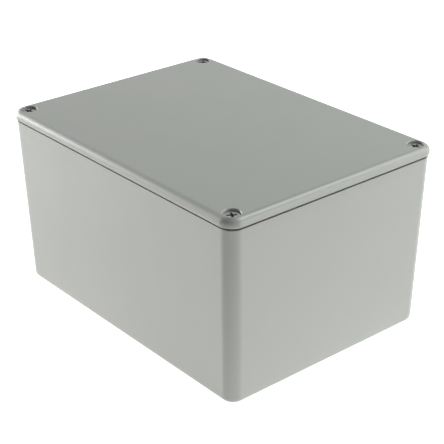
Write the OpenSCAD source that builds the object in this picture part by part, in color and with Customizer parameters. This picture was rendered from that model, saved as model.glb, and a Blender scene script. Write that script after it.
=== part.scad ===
// Die cast aluminium instrument box: a tapered base casting, a flat lid with softly
// rounded edges, a thin seal in the joint and four sunk cross-recess lid screws.
// Origin at the centre of the underside, X along the long side, lid facing +Z.

/* [Overall size] */
// Length over the lid, along X
box_l = 150; // [90:1:260]
// Width over the lid, along Y
box_w = 111; // [70:0.5:200]
// Height from the underside to the top of the closed lid
box_h = 82.5; // [40:0.5:160]

/* [Base casting] */
// Thickness of the side walls
wall_t = 2.5; // [1.8:0.1:3.2]
// Thickness of the floor
floor_t = 2.8; // [2:0.1:4]
// How far each wall leans in between rim and foot, so that the casting leaves its mould
wall_lean = 1.9; // [0.5:0.1:3]
// Plan radius of the upright corners
base_corner_r = 5.8; // [5.2:0.1:9]
// Radius where the walls meet the underside
foot_edge_r = 2.8; // [0.5:0.1:3]
// Radius between the walls and the floor inside
floor_fillet_r = 1.6; // [0.5:0.1:2]

/* [Lid casting] */
// Thickness of the lid at its edge
lid_t = 4; // [3.2:0.1:5]
// How far the lid stands out past the rim of the base
lid_overhang = 0.7; // [0.2:0.1:1.5]
// Plan radius of the lid's corners
lid_corner_r = 6.5; // [5:0.1:10]
// How far the rounding of the top edge reaches in over the lid
crown_in = 2.8; // [1:0.1:4.5]
// How far the rounding of the top edge reaches down the lid's side
crown_down = 2.6; // [0.5:0.1:4]
// Radius of the lid's lower edge, beside the joint
lower_edge_r = 0.6; // [0.2:0.1:0.8]
// Depth of the locating lip below the lid
lip_depth = 3.5; // [2:0.1:6]
// Thickness of the locating lip
lip_t = 1.8; // [1.2:0.1:2.5]
// Clearance between the lip and the walls and pillars
lip_gap = 0.3; // [0.2:0.05:0.6]
// Depth of the shallow pocket inside the lip
pocket_depth = 0.9; // [0.3:0.1:1.2]

/* [Seal] */
// Thickness of the seal when the lid is screwed down
seal_t = 0.9; // [0.3:0.05:1.2]
// How far the seal's edge is set back from the rim's outside
seal_setback = 0.8; // [0.2:0.1:1]

/* [Lid screws] */
// Distance of each screw's axis from both edges of the lid
screw_inset = 6.2; // [5.3:0.1:8]
// Diameter of the screw's thread
thread_d = 3.5; // [2.9:0.1:4.2]
// Diameter of the countersunk head
head_d = 6.5; // [6:0.1:7.8]
// Height of the head's straight rim, above its cone
head_rim = 0.3; // [0.2:0.05:0.5]
// How far the head lies below the top of the lid
head_sink = 1; // [0.3:0.1:1.2]
// Length of the screw over its head
screw_l = 14; // [10:0.1:20]
// Room around the head in its sunk hole
sink_clear = 0.2; // [0.1:0.05:0.4]
// Diameter across the cross recess in the head
cross_d = 4.1; // [3:0.1:4.5]
// Depth of the cross recess
cross_depth = 1.5; // [0.8:0.1:1.8]
// Diameter of the corner pillars at their top
pillar_d = 8.8; // [7.3:0.1:10.6]
// Room left under the screw's point in its hole
hole_spare = 2; // [0.5:0.5:4]

/* [Board guides] */
// Board slots on each long wall
slots_long = 3; // [0:1:5]
// Board slots on each short wall
slots_short = 2; // [0:1:3]
// Spacing of the slots
slot_pitch = 25.4; // [12:0.1:30]
// Width of a slot, for one circuit board's edge
slot_w = 1.8; // [1.2:0.1:2.6]
// Width of the rib on each side of a slot
rib_w = 1.6; // [1:0.1:2.4]
// How far the ribs stand in from the wall
rib_out = 1.6; // [0.8:0.1:2.4]

/* [Hidden] */

casting_grey = [0.66, 0.67, 0.65];
seal_black = [0.09, 0.09, 0.09];
screw_zinc = [0.72, 0.72, 0.70];

$fn = 48;
overlap = 0.1;            // how far a cut or a joined solid runs past its neighbour
crown_steps = 6;          // straight steps along the lid's top rounding
edge_steps = 5;           // straight steps along a foot or fillet rounding
rim_land = 0.6;           // short upright band under the rim of the base
thread_clear = 0.05;      // radial room of the thread in its hole
shank_clear = 0.3;        // radial room of the screw in the lid
seat_clear = 0.12;        // how far the seat in the lid lies below the head
mouth_bevel = 0.3;        // bevel at the mouth of each sunk hole
pillar_flare = 0.5;       // how much wider a pillar's radius is at the floor
rib_start = 1.5;          // how far the ribs stop below the lid's lip
mark_d = 6;               // diameter of the mould's ejector marks
mark_depth = 0.25;        // depth of the ejector marks

rim_z = box_h - lid_t - seal_t;
lid_z = box_h - lid_t;
rim_l = box_l - 2 * lid_overhang;
rim_w = box_w - 2 * lid_overhang;
foot_l = rim_l - 2 * wall_lean;
foot_w = rim_w - 2 * wall_lean;
lean_angle = atan(wall_lean / rim_z);
floor_lean = wall_lean * (1 - floor_t / rim_z);
inner_r = base_corner_r - wall_t;
inner_l = rim_l - 2 * wall_t;
inner_w = rim_w - 2 * wall_t;
inner_floor_l = inner_l - 2 * floor_lean;
inner_floor_w = inner_w - 2 * floor_lean;
lip_l = inner_l - 2 * lip_gap;
lip_w = inner_w - 2 * lip_gap;
screw_x = box_l / 2 - screw_inset;
screw_y = box_w / 2 - screw_inset;
screw_places = [[-1, -1], [1, -1], [1, 1], [-1, 1]];
screw_turns = [24, 61, 8, 47];
screw_top_z = box_h - head_sink;
screw_tip_z = screw_top_z - screw_l;
cone_h = (head_d - thread_d) / 2;
sink_d = head_d + 2 * sink_clear;
crown_drop = min(crown_down, lid_t - lower_edge_r);
notch_r = pillar_d / 2 + pillar_flare * lip_depth / rim_z + lip_gap;
hole_r = thread_d / 2 + thread_clear;
shank_hole_r = thread_d / 2 + shank_clear;

// Puts a copy of its children at the four corners of a rectangle
module at_corners(half_x, half_y)
    for (x = [-half_x, half_x], y = [-half_y, half_y])
        translate([x, y, 0]) children();

// Plan outline with true round corners
module round_outline(len, wid, r) {
    square([len - 2 * r, wid], center = true);
    square([len, wid - 2 * r], center = true);
    at_corners(len / 2 - r, wid / 2 - r) circle(r);
}

module at_screws()
    for (p = screw_places)
        translate([p[0] * screw_x, p[1] * screw_y, 0]) children();

// Half section of a disc whose lower edge is rounded, for a corner of the foot
function foot_section(r, edge_r, h) = concat(
    [[0, h], [0, 0]],
    [for (i = [0 : edge_steps])
        let (a = 90 * i / edge_steps)
        [r - edge_r + edge_r * sin(a), edge_r - edge_r * cos(a)]],
    [[r, h]]);

// Leaning walls between a round-edged foot and a slightly larger rim
module leaning_block(top_l, top_w, foot_l, foot_w, r, edge_r, z0, z1)
    hull() {
        translate([0, 0, z0])
            at_corners(foot_l / 2 - r, foot_w / 2 - r)
                rotate_extrude() polygon(foot_section(r, edge_r, edge_r + overlap));
        translate([0, 0, z1 - rim_land])
            at_corners(top_l / 2 - r, top_w / 2 - r)
                cylinder(r = r, h = rim_land);
    }

// One corner pillar, a little wider at the floor
module pillar()
    cylinder(r1 = pillar_d / 2 + pillar_flare, r2 = pillar_d / 2, h = rim_z + 2 * overlap);

// The pair of ribs that holds one board edge, standing on the wall's inner face
module board_slot() {
    rib_h = rim_z - floor_t - lip_depth - rib_start;
    for (side = [-1, 1])
        translate([side * (slot_w + rib_w) / 2 - rib_w / 2, -rib_out, -overlap])
            cube([rib_w, rib_out + wall_t / 2, rib_h]);
}

module board_slots()
    translate([0, 0, floor_t]) {
        for (turn = [0, 180], i = [0 : 1 : slots_long - 1])
            rotate([0, 0, turn])
                translate([(i - (slots_long - 1) / 2) * slot_pitch, inner_floor_w / 2, 0])
                    rotate([-lean_angle, 0, 0]) board_slot();
        for (turn = [-90, 90], i = [0 : 1 : slots_short - 1])
            rotate([0, 0, turn])
                translate([(i - (slots_short - 1) / 2) * slot_pitch, inner_floor_l / 2, 0])
                    rotate([-lean_angle, 0, 0]) board_slot();
    }

// Shallow round marks that the mould's ejector pins leave
module ejector_marks(half_x, half_y, z)
    translate([0, 0, z])
        for (x = [-1, 0, 1], y = [-1, 1])
            translate([x * half_x, y * half_y, 0])
                cylinder(d = mark_d, h = mark_depth + overlap);

module base()
    color(casting_grey)
    difference() {
        leaning_block(rim_l, rim_w, foot_l, foot_w, base_corner_r, foot_edge_r, 0, rim_z);
        difference() {
            leaning_block(inner_l, inner_w, inner_floor_l, inner_floor_w, inner_r,
                          floor_fillet_r, floor_t, rim_z + overlap);
            at_screws() pillar();
            board_slots();
        }
        ejector_marks(foot_l / 3, foot_w / 3, floor_t - mark_depth);
        translate([0, 0, screw_tip_z - hole_spare])
            at_screws() cylinder(r = hole_r, h = rim_z - screw_tip_z + hole_spare + overlap);
    }

// Half section of a disc with the lid's edge: small lower radius, wide soft crown on top
function lid_section(r) = concat(
    [[0, lid_t], [0, 0]],
    [for (i = [0 : edge_steps])
        let (a = 90 * i / edge_steps)
        [r - lower_edge_r + lower_edge_r * sin(a), lower_edge_r - lower_edge_r * cos(a)]],
    [for (i = [0 : crown_steps])
        let (a = 90 * i / crown_steps)
        [r - crown_in + crown_in * cos(a), lid_t - crown_drop + crown_drop * sin(a)]]);

module lid_slab()
    translate([0, 0, lid_z])
        hull()
            at_corners(box_l / 2 - lid_corner_r, box_w / 2 - lid_corner_r)
                rotate_extrude() polygon(lid_section(lid_corner_r));

// Locating lip inside the walls, left out where the pillars stand
module lid_lip()
    translate([0, 0, lid_z - lip_depth])
        linear_extrude(lip_depth + overlap)
            difference() {
                round_outline(lip_l, lip_w, inner_r);
                round_outline(lip_l - 2 * lip_t, lip_w - 2 * lip_t, inner_r);
                at_screws() circle(notch_r);
            }

// Sunk hole for one screw: bevelled mouth, straight recess, conical seat, shank hole
module sunk_hole() {
    seat_z = screw_top_z - head_rim - seat_clear;
    translate([0, 0, box_h - mouth_bevel])
        cylinder(r1 = sink_d / 2, r2 = sink_d / 2 + mouth_bevel + overlap,
                 h = mouth_bevel + overlap);
    translate([0, 0, seat_z]) cylinder(d = sink_d, h = box_h - seat_z);
    translate([0, 0, seat_z - cone_h])
        cylinder(d1 = thread_d, d2 = head_d, h = cone_h);
    translate([0, 0, lid_z - overlap]) cylinder(r = shank_hole_r, h = lid_t);
}

module lid()
    color(casting_grey)
    difference() {
        union() {
            lid_slab();
            lid_lip();
        }
        translate([0, 0, lid_z - overlap])
            linear_extrude(pocket_depth + overlap)
                difference() {
                    round_outline(lip_l - 2 * lip_t, lip_w - 2 * lip_t, inner_r);
                    at_screws() circle(notch_r + lip_t);
                }
        ejector_marks(box_l / 3, box_w / 3, lid_z + pocket_depth - overlap);
        at_screws() sunk_hole();
    }

// Flat seal cut to the shape of the rim and the pillar tops
module seal()
    color(seal_black)
    translate([0, 0, rim_z])
        linear_extrude(seal_t)
            difference() {
                round_outline(rim_l - 2 * seal_setback, rim_w - 2 * seal_setback,
                              base_corner_r - seal_setback);
                difference() {
                    round_outline(inner_l, inner_w, inner_r);
                    at_screws() circle(d = pillar_d);
                }
                at_screws() circle(shank_hole_r);
            }

// Tapering cross recess cut into a screw's head
module cross_recess() {
    wing_w = cross_d / 4;
    for (turn = [0, 90])
        rotate([0, 0, turn])
            translate([0, wing_w / 2, 0])
                rotate([90, 0, 0])
                    linear_extrude(wing_w)
                        polygon([[-cross_d / 2, overlap], [-cross_d / 4, -cross_depth],
                                 [cross_d / 4, -cross_depth], [cross_d / 2, overlap]]);
}

// Countersunk screw with a plain shank at its thread's outer diameter
module lid_screw(i) {
    tip_bevel = 0.6;
    translate([screw_places[i][0] * screw_x, screw_places[i][1] * screw_y, screw_top_z])
        color(screw_zinc)
        rotate([0, 0, screw_turns[i]])
        difference() {
            rotate_extrude()
                polygon([[0, 0], [head_d / 2, 0], [head_d / 2, -head_rim],
                         [thread_d / 2, -head_rim - cone_h],
                         [thread_d / 2, -screw_l + tip_bevel],
                         [thread_d / 2 - tip_bevel, -screw_l], [0, -screw_l]]);
            cross_recess();
        }
}

base();
lid();
seal();
for (i = [0 : 3])
    lid_screw(i);
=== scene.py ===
import math

import bmesh
import bpy
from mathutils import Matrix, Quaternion, Vector


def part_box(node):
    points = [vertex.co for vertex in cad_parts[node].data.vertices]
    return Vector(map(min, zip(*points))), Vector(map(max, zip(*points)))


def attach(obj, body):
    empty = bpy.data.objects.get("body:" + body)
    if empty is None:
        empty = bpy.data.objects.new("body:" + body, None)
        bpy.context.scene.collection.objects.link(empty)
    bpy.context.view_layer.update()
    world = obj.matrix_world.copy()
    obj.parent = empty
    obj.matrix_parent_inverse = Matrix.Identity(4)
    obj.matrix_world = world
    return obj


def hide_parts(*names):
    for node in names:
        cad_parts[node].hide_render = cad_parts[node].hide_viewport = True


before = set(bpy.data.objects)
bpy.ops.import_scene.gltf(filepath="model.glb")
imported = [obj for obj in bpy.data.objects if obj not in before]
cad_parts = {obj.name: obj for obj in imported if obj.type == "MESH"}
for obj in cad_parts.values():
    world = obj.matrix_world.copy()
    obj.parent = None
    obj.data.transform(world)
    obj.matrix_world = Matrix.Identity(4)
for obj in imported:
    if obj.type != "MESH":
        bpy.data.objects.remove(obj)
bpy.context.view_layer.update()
print("frame loaded")

mm = 0.001
boxLow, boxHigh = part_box("base")
lidLow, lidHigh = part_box("lid")
sealLow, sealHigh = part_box("seal")

# What the pieces share; all lengths in metres
casting = {
    "wall": 2.5 * mm,          # side wall of the base
    "floor": 2.8 * mm,         # floor of the base
    "lean": 1.9 * mm,          # how far a wall leans in on its way down
    "edge": 0.25 * mm,         # softening of the sharp edges under the paint
    "sharp": math.radians(33),  # edges steeper than this are real corners
    "flat": math.radians(0.3),  # facets closer than this make one flat face
}

view = {
    "place": Vector((0.38484, -0.31741, 0.28379)),
    "target": Vector((0.00294, 0.00089, 0.03774)),
    "roll": math.radians(-0.40),
    "lens": 102.52,
}


# Shader maths: a wire is one value in a node tree, and sums and products of wires add nodes
class Wire:
    def __init__(self, tree, socket):
        self.tree = tree
        self.socket = socket

    def maths(self, operation, first, second):
        node = self.tree.nodes.new("ShaderNodeMath")
        node.operation = operation
        for slot, value in zip(node.inputs, (first, second)):
            if isinstance(value, Wire):
                self.tree.links.new(value.socket, slot)
            else:
                slot.default_value = value
        return Wire(self.tree, node.outputs[0])

    def __add__(self, other):
        return self.maths("ADD", self, other)

    def __radd__(self, other):
        return self.maths("ADD", other, self)

    def __sub__(self, other):
        return self.maths("SUBTRACT", self, other)

    def __rsub__(self, other):
        return self.maths("SUBTRACT", other, self)

    def __mul__(self, other):
        return self.maths("MULTIPLY", self, other)

    def __rmul__(self, other):
        return self.maths("MULTIPLY", other, self)

    def __truediv__(self, other):
        return self.maths("DIVIDE", self, other)

    def least(self, other):
        return self.maths("MINIMUM", self, other)

    def most(self, other):
        return self.maths("MAXIMUM", self, other)

    def above(self, other):
        return self.maths("GREATER_THAN", self, other)

    def below(self, other):
        return self.maths("LESS_THAN", self, other)

    def of(self, operation, other=0):
        return self.maths(operation, self, other)


# One material: its tree, its Principled shader and a method that adds any other node
class Finish:
    def __init__(self, name):
        self.material = bpy.data.materials.new(name)
        self.material.use_nodes = True
        self.tree = self.material.node_tree
        self.shader = self.tree.nodes["Principled BSDF"]

    def node(self, kind, settings=None, inputs=None, output=0):
        node = self.tree.nodes.new(kind)
        for key, value in (settings or {}).items():
            setattr(node, key, value)
        for key, value in (inputs or {}).items():
            self.feed(node.inputs[key], value)
        return Wire(self.tree, node.outputs[output])

    def feed(self, socket, value):
        if isinstance(value, Wire):
            self.tree.links.new(value.socket, socket)
        else:
            socket.default_value = value

    def set(self, **values):
        for key, value in values.items():
            self.feed(self.shader.inputs[key.replace("_", " ")], value)

    def place(self):
        return self.node("ShaderNodeTexCoord", output="Object")

    def noise(self, scale, detail=2.0, roughness=0.5):
        return self.node("ShaderNodeTexNoise", inputs={
            "Vector": self.place(), "Scale": scale, "Detail": detail, "Roughness": roughness})

    def between(self, mask, low, high):
        return self.node("ShaderNodeMapRange", {"interpolation_type": "SMOOTHSTEP"},
                         {"Value": mask, "From Min": low, "From Max": high})

    def mix(self, mask, first, second):
        node = self.tree.nodes.new("ShaderNodeMix")
        node.data_type = "RGBA"
        self.feed(node.inputs["Factor"], mask)
        self.feed(node.inputs[6], first)
        self.feed(node.inputs[7], second)
        return Wire(self.tree, node.outputs[2])

    def bump(self, height, strength, distance):
        normal = self.node("ShaderNodeBump", inputs={
            "Height": height, "Strength": strength, "Distance": distance})
        self.feed(self.shader.inputs["Normal"], normal)


paint = {
    "colour": (0.405, 0.412, 0.386, 1),
    "shade": (0.399, 0.407, 0.381, 1),   # where the coat lies a little thicker
    "cloud": 38,       # noise cells per metre for the slow change of tone
    "peel": 850,       # for the fine orange peel of the sprayed coat
    "roughness": 0.38,
}


def paintFinish():
    finish = Finish("greyCastingPaint")
    cloud = finish.between(finish.noise(paint["cloud"], 3), 0.35, 0.65)
    peel = finish.noise(paint["peel"], 1.5)
    grain = finish.noise(paint["peel"] * 3.1, 1.0)
    colour = finish.mix(cloud, paint["colour"], paint["shade"])
    finish.set(Base_Color=colour, Roughness=paint["roughness"] + 0.03 * cloud + 0.04 * (peel - 0.5))
    finish.bump(peel * 0.8 + grain * 0.2, 0.05, 0.1 * mm)
    return finish.material


bare = {
    "bright": (0.62, 0.62, 0.61, 1),
    "dull": (0.44, 0.44, 0.43, 1),
    "flow": 55,        # cloudy flow marks of the metal
    "skin": 700,
}


def bareFinish():
    finish = Finish("bareCasting")
    flow = finish.between(finish.noise(bare["flow"], 4, 0.6), 0.3, 0.7)
    skin = finish.noise(bare["skin"], 3)
    finish.set(Base_Color=finish.mix(flow, bare["bright"], bare["dull"]), Metallic=0.85,
               Roughness=0.42 + 0.14 * flow + 0.08 * (skin - 0.5))
    finish.bump(skin, 0.2, 0.08 * mm)
    return finish.material


rubber = {"colour": (0.022, 0.022, 0.022, 1), "worn": (0.04, 0.04, 0.04, 1), "grain": 900}


def rubberFinish():
    finish = Finish("sealRubber")
    grain = finish.noise(rubber["grain"], 2)
    finish.set(Base_Color=finish.mix(grain, rubber["colour"], rubber["worn"]),
               Roughness=0.78 + 0.1 * (grain - 0.5))
    finish.bump(grain, 0.3, 0.05 * mm)
    return finish.material


zinc = {"bright": (0.60, 0.60, 0.585, 1), "dull": (0.42, 0.42, 0.41, 1), "metallic": 0.9,
        "cloud": 420, "grain": 2600}
# The cross of every screw is coloured near black: painted shade in the recess
recess = {"bright": (0.10, 0.10, 0.095, 1), "dull": (0.05, 0.05, 0.047, 1), "metallic": 0.5,
          "cloud": 900, "grain": 2600}


def screwFinish(name, look):
    finish = Finish(name)
    cloud = finish.between(finish.noise(look["cloud"], 3), 0.35, 0.65)
    grain = finish.noise(look["grain"], 2)
    finish.set(Base_Color=finish.mix(cloud, look["bright"], look["dull"]),
               Metallic=look["metallic"], Roughness=0.34 + 0.12 * cloud + 0.06 * (grain - 0.5))
    finish.bump(grain, 0.15, 0.02 * mm)
    return finish.material


# the near-black screw finish is painted shade for the crosses of the screws
finishes = {"paint": paintFinish(), "bare": bareFinish(), "rubber": rubberFinish(),
            "zinc": screwFinish("screwZinc", zinc), "recess": screwFinish("screwRecessPaintedShade", recess)}
print("finishes made")


def addPiece(name, mesh, *materials):
    piece = bpy.data.objects.new(name, mesh)
    bpy.context.scene.collection.objects.link(piece)
    for material in materials:
        mesh.materials.append(material)
    return piece


# A copy of a frame node as one clean skin: flat facets joined, real corners kept sharp
def cleanCopy(node, name, *materials):
    skin = bmesh.new()
    skin.from_mesh(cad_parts[node].data)
    bmesh.ops.remove_doubles(skin, verts=skin.verts, dist=0.002 * mm)
    bmesh.ops.dissolve_limit(skin, verts=skin.verts, edges=skin.edges,
                             angle_limit=casting["flat"])
    for edge in skin.edges:
        edge.smooth = edge.calc_face_angle(0) < casting["sharp"]
    for face in skin.faces:
        face.smooth = True
    mesh = bpy.data.meshes.new(name)
    skin.to_mesh(mesh)
    skin.free()
    return addPiece(name, mesh, *materials)


def soften(piece, width, segments=2):
    bevel = piece.modifiers.new("softEdges", "BEVEL")
    bevel.limit_method = "ANGLE"
    bevel.angle_limit = casting["sharp"]
    bevel.width = width
    bevel.segments = segments
    weight = piece.modifiers.new("evenShading", "WEIGHTED_NORMAL")
    weight.weight = 60
    weight.keep_sharp = False


# The inside of the casting was never painted: its faces take the second material
def bareInside(piece, isInside):
    for face in piece.data.polygons:
        if isInside(face.center):
            face.material_index = 1


def insideBase(point):
    down = (boxHigh.z - point.z) / (boxHigh.z - boxLow.z)
    inset = casting["wall"] + casting["lean"] * down - 0.3 * mm
    inX = abs(point.x) < boxHigh.x - inset
    inY = abs(point.y) < boxHigh.y - inset
    inZ = casting["floor"] - 0.4 * mm < point.z < boxHigh.z - 0.01 * mm
    return inX and inY and inZ


def insideLid(point):
    rim = casting["wall"] + (lidHigh.x - boxHigh.x)
    return (point.z < sealHigh.z + 1.3 * mm and abs(point.x) < lidHigh.x - rim
            and abs(point.y) < lidHigh.y - rim)


def makeCastings():
    base = cleanCopy("base", "baseCasting", finishes["paint"], finishes["bare"])
    bareInside(base, insideBase)
    lid = cleanCopy("lid", "lidCasting", finishes["paint"], finishes["bare"])
    bareInside(lid, insideLid)
    seal = cleanCopy("seal", "rimSeal", finishes["rubber"])
    for piece, width in ((base, casting["edge"]), (lid, casting["edge"]), (seal, 0.06 * mm)):
        soften(piece, width)
    for piece, node, slotName in ((base, "base", "casting_paint"), (lid, "lid", "casting_paint"),
                                  (seal, "seal", "seal_rubber")):
        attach(piece, "base" if node == "base" else "lid")
        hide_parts(node)
    print("castings and seal made")


# A Geometry Nodes tree; its named inputs are the sizes of the piece that it makes
class Recipe(Finish):
    def __init__(self, name):
        self.tree = bpy.data.node_groups.new(name, "GeometryNodeTree")
        self.tree.interface.new_socket("Geometry", in_out="OUTPUT",
                                       socket_type="NodeSocketGeometry")
        self.start = self.tree.nodes.new("NodeGroupInput")
        self.end = self.tree.nodes.new("NodeGroupOutput")

    def size(self, name, kind="NodeSocketFloat"):
        self.tree.interface.new_socket(name, in_out="INPUT", socket_type=kind)
        return Wire(self.tree, self.start.outputs[name])

    def place(self):
        return self.node("GeometryNodeInputPosition")

    def apart(self, vector):
        split = self.node("ShaderNodeSeparateXYZ", inputs={0: vector}).socket.node
        return [Wire(self.tree, output) for output in split.outputs]

    def point(self, x, y, z):
        return self.node("ShaderNodeCombineXYZ", inputs={"X": x, "Y": y, "Z": z})

    def move(self, shape, position):
        return self.node("GeometryNodeSetPosition",
                         inputs={"Geometry": shape, "Position": position})

    def turned(self, shape, angle, shift=(0, 0, 0)):
        return self.node("GeometryNodeTransform", inputs={
            "Geometry": shape, "Rotation": self.point(0, 0, angle), "Translation": shift})

    # Smooth everywhere but over the edges that turn by more than the limit
    def shaded(self, shape, limit):
        gentle = self.node("GeometryNodeInputMeshEdgeAngle").below(limit)
        return self.node("GeometryNodeSetShadeSmooth", {"domain": "EDGE"},
                         {"Geometry": shape, "Shade Smooth": gentle})

    def coated(self, shape, material, where=True):
        return self.node("GeometryNodeSetMaterial", inputs={
            "Geometry": shape, "Material": material, "Selection": where})

    # Runs the tree with these sizes and keeps what it makes as one plain mesh
    def make(self, name, sizes):
        maker = addPiece(name + "Maker", bpy.data.meshes.new(name + "Maker"))
        modifier = maker.modifiers.new("recipe", "NODES")
        modifier.node_group = self.tree
        for item in self.tree.interface.items_tree:
            if item.in_out == "INPUT":
                modifier[item.identifier] = sizes[item.name]
        made = maker.evaluated_get(bpy.context.evaluated_depsgraph_get())
        mesh = bpy.data.meshes.new_from_object(made)
        mesh.name = name
        used = [material for material in mesh.materials if material]
        slots = [used.index(material) if material else 0 for material in mesh.materials]
        picks = [slots[face.material_index] for face in mesh.polygons]
        mesh.materials.clear()
        bpy.data.objects.remove(maker)
        piece = addPiece(name, mesh, *used)
        mesh.polygons.foreach_set("material_index", picks)
        return piece


screw = {
    "Head": 3.25 * mm,         # radius of the countersunk head
    "Rim": 0.3 * mm,           # straight height of the head's edge
    "Softening": 0.12 * mm,    # small bevel round the top of the head
    "Thread": 1.75 * mm,       # radius over the thread
    "Core": 1.36 * mm,         # radius at the bottom of the thread
    "Pitch": 0.6 * mm,
    "Point": 0.6 * mm,         # bevel at the tip
    "Reach": 2.05 * mm,        # half the width over the cross recess
    "Wing": 1.0 * mm,          # width of one wing of the cross
    "Depth": 1.5 * mm,         # depth of the cross
}
screwMesh = {"round": 36, "rows": 280, "sharp": math.radians(38)}
screwTurns = {"screw_front_left": 24, "screw_front_right": 61,
              "screw_back_right": 8, "screw_back_left": 47}


# A grid rolled up round the screw's axis: its radius follows head, cone, thread and tip
def screwBody(recipe, size):
    rows = screwMesh["rows"]
    grid = recipe.node("GeometryNodeMeshGrid", inputs={
        "Size X": 1, "Size Y": 1, "Vertices X": screwMesh["round"] + 1, "Vertices Y": rows + 3})
    across, along = recipe.apart(recipe.place())[:2]
    turn = across + 0.5
    row = (0.5 - along) * (rows + 2)
    inner = row.above(0.5) * row.below(rows + 1.5)    # the end rows close up on the axis
    deep = (row - 1).most(0).least(rows) * (1 / rows) * size["Length"]
    cone = size["Head"] - (deep - size["Rim"]).most(0)
    bevel = size["Head"] - (size["Softening"] - deep).most(0)
    ridge = (deep / size["Pitch"] - turn).of("PINGPONG", 0.5)
    ridge = (ridge * 2.6 - 0.8).most(0).least(1)
    tip = size["Thread"] - (deep - size["Length"] + size["Point"]).most(0)
    shank = (size["Core"] + (size["Thread"] - size["Core"]) * ridge).least(tip)
    radius = cone.most(shank).least(bevel) * inner
    angle = turn * math.tau
    body = recipe.move(grid, recipe.point(radius * angle.of("COSINE"),
                                          radius * angle.of("SINE"), -1 * deep))
    return recipe.node("GeometryNodeMergeByDistance",
                       inputs={"Geometry": body, "Distance": 0.002 * mm})


# The cross: two wings and a blunt cone in the middle, all narrowing downwards
def crossCutters(recipe, size):
    x, y, z = recipe.apart(recipe.place())
    rise = z / size["Depth"]
    block = recipe.node("GeometryNodeMeshCube", inputs={"Size": recipe.point(
        size["Reach"] * 2, size["Wing"], size["Depth"] * 2)})
    wing = recipe.move(block, recipe.point(x * (1 + 0.5 * rise), y * (1 + 0.2 * rise), z))
    cone = recipe.node("GeometryNodeMeshCone", inputs={
        "Vertices": 24, "Radius Top": size["Wing"] * 0.5, "Radius Bottom": size["Wing"] * 1.3,
        "Depth": size["Depth"] * 2})
    cone = recipe.node("GeometryNodeTransform", inputs={
        "Geometry": cone, "Rotation": (math.pi, 0, 0),
        "Translation": recipe.point(0, 0, size["Depth"])})
    return [wing, recipe.turned(wing, math.pi / 2), cone]


def screwRecipe():
    recipe = Recipe("lidScrew")
    size = {name: recipe.size(name) for name in [*screw, "Length", "Turn"]}
    axis = recipe.size("Place", "NodeSocketVector")
    cut = recipe.node("GeometryNodeMeshBoolean", {"operation": "DIFFERENCE", "solver": "EXACT"},
                      {"Mesh 1": screwBody(recipe, size)})
    for cutter in crossCutters(recipe, size):
        recipe.feed(cut.socket.node.inputs["Mesh 2"], cutter)
    whole = recipe.turned(recipe.shaded(cut, screwMesh["sharp"]), size["Turn"], axis)
    whole = recipe.node("GeometryNodeRealizeInstances", inputs={"Geometry": whole})
    away = recipe.node("ShaderNodeVectorMath", {"operation": "SUBTRACT"},
                       {0: recipe.place(), 1: axis})
    x, y, z = recipe.apart(away)
    # painted shade: the faces inside the cross take the near-black finish
    recess = ((x * x + y * y).of("SQRT").below(0.96 * size["Reach"]) * z.below(-0.02 * mm)
              * z.above(-1.02 * size["Depth"]))
    whole = recipe.coated(whole, finishes["zinc"])
    recipe.feed(recipe.end.inputs["Geometry"], recipe.coated(whole, finishes["recess"], recess))
    return recipe


def makeScrews():
    recipe = screwRecipe()
    for name, turn in screwTurns.items():
        low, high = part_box(name)
        place = Vector(((low.x + high.x) / 2, (low.y + high.y) / 2, high.z))
        piece = recipe.make(name.replace("screw", "lidScrew"), {
            **screw, "Length": high.z - low.z, "Turn": math.radians(turn), "Place": place})
        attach(piece, name)
        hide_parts(name)
    print("screws made")


makeCastings()
makeScrews()


def makeCamera():
    data = bpy.data.cameras.new("camera")
    data.lens = view["lens"]
    data.clip_start = 0.01
    data.clip_end = 50
    camera = bpy.data.objects.new("camera", data)
    bpy.context.scene.collection.objects.link(camera)
    camera.location = view["place"]
    camera.rotation_mode = "QUATERNION"
    aim = (view["target"] - view["place"]).to_track_quat("-Z", "Y")
    camera.rotation_quaternion = aim @ Quaternion((0, 0, 1), view["roll"])
    bpy.context.scene.camera = camera


# Soft boxes round the object: direction in degrees (0 looks from +X), height angle, size, power
lamps = {
    "leftBox": {"azimuth": -165, "height": 8.7, "size": (0.5, 0.35), "watts": 15.7},
    "rightBox": {"azimuth": 65, "height": 22, "size": (0.5, 0.5), "watts": 3.17},
    "frontBox": {"azimuth": 25, "height": 8.7, "size": (0.5, 0.35), "watts": 1.57},
    "highBox": {"azimuth": 60, "height": 55, "size": (0.32, 0.32), "watts": 4.24,
                "tint": (0.93, 1, 0.985)},
}
room = {
    "centre": Vector((0, 0, 0.04)),
    "distance": 0.9,             # of every lamp from the centre
    "floor": (0.8, 0.8, 0.8, 1),
    "tableGlow": 0.315,           # the white table is lit from below
    "middleGlow": 0.48,          # and more so near its middle
    "middleReach": 0.62,
    "seenGlow": 0.27,            # keeps the background white for the camera
    "reflected": 0.61,           # how bright the white surroundings are in reflections
}


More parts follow.
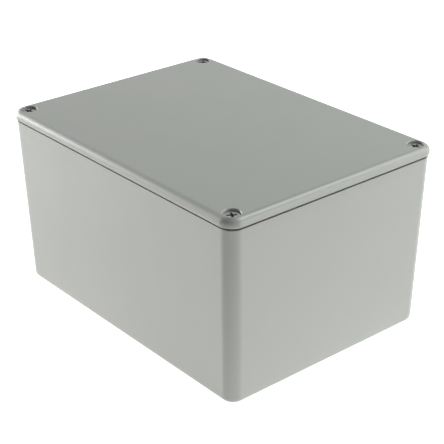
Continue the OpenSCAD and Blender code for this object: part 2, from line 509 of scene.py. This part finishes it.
def makeLamps():
    for name, lamp in lamps.items():
        data = bpy.data.lights.new(name, "AREA")
        data.shape = "RECTANGLE"
        data.size, data.size_y = lamp["size"]
        data.energy = lamp["watts"]
        data.color = lamp.get("tint", (1, 1, 1))
        turn, rise = math.radians(lamp["azimuth"]), math.radians(lamp["height"])
        way = Vector((math.cos(turn) * math.cos(rise), math.sin(turn) * math.cos(rise),
                      math.sin(rise)))
        light = bpy.data.objects.new(name, data)
        bpy.context.scene.collection.objects.link(light)
        light.location = room["centre"] + way * room["distance"]
        light.rotation_mode = "QUATERNION"
        light.rotation_quaternion = (-way).to_track_quat("-Z", "Y")


# White for the camera and in reflections; the lamps and the lit table do the lighting
def makeWorld():
    world = bpy.data.worlds.new("studio")
    bpy.context.scene.world = world
    world.use_nodes = True
    tree = world.node_tree
    back = tree.nodes["Background"]
    path = tree.nodes.new("ShaderNodeLightPath")
    seen = Wire(tree, path.outputs["Is Camera Ray"])
    level = seen.most(Wire(tree, path.outputs["Is Glossy Ray"]) * room["reflected"])
    tree.links.new(level.socket, back.inputs["Strength"])
    back.inputs["Color"].default_value = (1, 1, 1, 1)


def makeFloor():
    half = 3.0
    mesh = bpy.data.meshes.new("floor")
    mesh.from_pydata([(-half, -half, 0), (half, -half, 0), (half, half, 0), (-half, half, 0)],
                     [], [(0, 1, 2, 3)])
    finish = Finish("paleFloor")
    finish.tree.nodes.remove(finish.shader)
    matt = finish.node("ShaderNodeBsdfDiffuse", inputs={"Color": room["floor"]})
    reach = finish.node("ShaderNodeVectorMath", {"operation": "LENGTH"},
                        {0: finish.place()}, "Value")
    fade = finish.between(reach, 0, room["middleReach"])
    seen = finish.node("ShaderNodeLightPath", output="Is Camera Ray")
    glow = finish.node("ShaderNodeEmission", inputs={
        "Strength": room["tableGlow"] + room["middleGlow"] * (1 - fade) + room["seenGlow"] * seen})
    both = finish.node("ShaderNodeAddShader", inputs={0: matt, 1: glow})
    finish.feed(finish.tree.nodes["Material Output"].inputs["Surface"], both)
    addPiece("floor", mesh, finish.material)


makeCamera()
makeLamps()
makeWorld()
makeFloor()
bpy.context.scene.view_settings.view_transform = "Standard"
print("camera, lamps and floor made")
